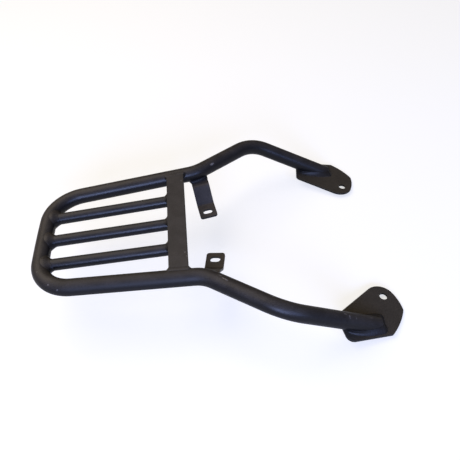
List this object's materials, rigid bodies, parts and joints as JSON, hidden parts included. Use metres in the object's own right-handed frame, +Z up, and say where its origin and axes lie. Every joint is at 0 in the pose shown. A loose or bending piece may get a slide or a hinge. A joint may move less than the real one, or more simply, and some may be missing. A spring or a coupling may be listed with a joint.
{
  "type": "luggage carrier",
  "caption": "Tubular rear luggage carrier for a motorcycle: a bent tube hoop with slats, a flat cross plate, slotted strip stays and bolt-down lugs.",
  "frame": {"origin": "middle of the cross plate's upper face", "axes": "+X forward on the motorcycle, +Y its left side, +Z up; the hoop, slats and cross plate lie level"},
  "size_m": [0.4697, 0.3548, 0.0975],
  "materials": {
    "powder_coat": "satin black powder coat, dusty, with small scuffs"
  },
  "bodies": {
    "root": {"hoop": "powder_coat", "cross_plate": "powder_coat", "slat_right": "powder_coat", "slat_rear_weld_right": "powder_coat", "slat_front_weld_right": "powder_coat", "slat_middle": "powder_coat", "slat_rear_weld_middle": "powder_coat", "slat_front_weld_middle": "powder_coat", "slat_left": "powder_coat", "slat_rear_weld_left": "powder_coat", "slat_front_weld_left": "powder_coat", "cross_weld_left": "powder_coat", "cross_weld_right": "powder_coat", "stay_left": "powder_coat", "stay_weld_left": "powder_coat", "stay_right": "powder_coat", "stay_weld_right": "powder_coat", "lug_right": "powder_coat", "lug_left": "powder_coat", "leg_weld_right": "powder_coat", "leg_weld_left": "powder_coat"}
  },
  "joints": []
}
